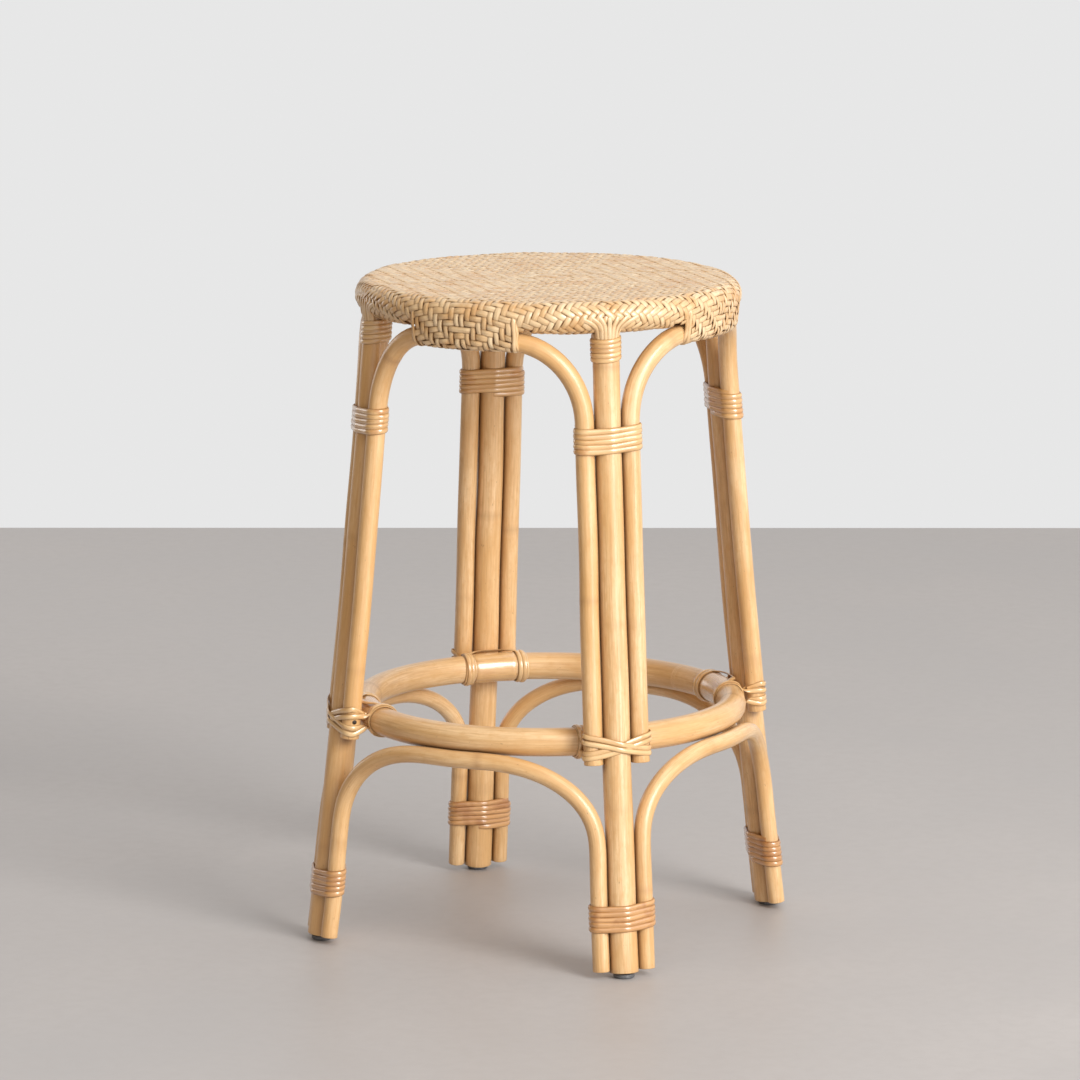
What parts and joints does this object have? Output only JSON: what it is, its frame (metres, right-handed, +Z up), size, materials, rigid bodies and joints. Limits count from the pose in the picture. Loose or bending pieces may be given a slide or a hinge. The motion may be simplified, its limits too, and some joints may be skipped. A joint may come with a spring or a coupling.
{
  "type": "bar stool",
  "caption": "Backless counter stool with a round woven seat, splayed legs of bundled rattan poles joined by arches, and a round foot ring inside the legs.",
  "frame": {"origin": "floor level, on the stool's vertical axis", "axes": "+Z up from the floor to the seat; legs on the diagonals between X and Y; front faces -Y"},
  "size_m": [0.4162, 0.4162, 0.66],
  "materials": {
    "pole": "peeled rattan pole, honey tan, fine lengthwise grain, semi-gloss clear lacquer",
    "peel_wrap": "flat rattan peel, glossy clear lacquer",
    "dark_peel_wrap": "flat rattan peel, darker orange brown, glossy clear lacquer",
    "pale_peel_lashing": "flat rattan peel, pale straw, glossy clear lacquer",
    "woven_peel": "woven rattan peel strips, pale straw, satin lacquer",
    "board": "bare plywood",
    "glide_plastic": "moulded grey plastic",
    "screw_steel": "dark steel"
  },
  "bodies": {
    "root": {"post_front_right": "pole", "post_back_right": "pole", "post_back_left": "pole", "post_front_left": "pole", "post_top_wrap_front_right": "peel_wrap", "post_top_wrap_back_right": "peel_wrap", "post_top_wrap_back_left": "peel_wrap", "post_top_wrap_front_left": "peel_wrap", "leg_wrap_front_right": "peel_wrap", "leg_wrap_back_right": "peel_wrap", "leg_wrap_back_left": "peel_wrap", "leg_wrap_front_left": "peel_wrap", "foot_wrap_front_right": "dark_peel_wrap", "foot_wrap_back_right": "dark_peel_wrap", "foot_wrap_back_left": "dark_peel_wrap", "foot_wrap_front_left": "dark_peel_wrap", "ring_lashing_front_right": "pale_peel_lashing", "ring_lashing_back_right": "pale_peel_lashing", "ring_lashing_back_left": "pale_peel_lashing", "ring_lashing_front_left": "pale_peel_lashing", "ring_screw_front_right": "screw_steel", "ring_screw_back_right": "screw_steel", "ring_screw_back_left": "screw_steel", "ring_screw_front_left": "screw_steel", "glide_front_right": "glide_plastic", "glide_back_right": "glide_plastic", "glide_back_left": "glide_plastic", "glide_front_left": "glide_plastic", "upper_arch_front": "pole", "upper_arch_right": "pole", "upper_arch_back": "pole", "upper_arch_left": "pole", "lower_arch_front": "pole", "lower_arch_right": "pole", "lower_arch_back": "pole", "lower_arch_left": "pole", "foot_ring": "pole", "seat_hoop": "pole", "seat_board": "board", "seat_weave": "woven_peel"}
  },
  "joints": []
}
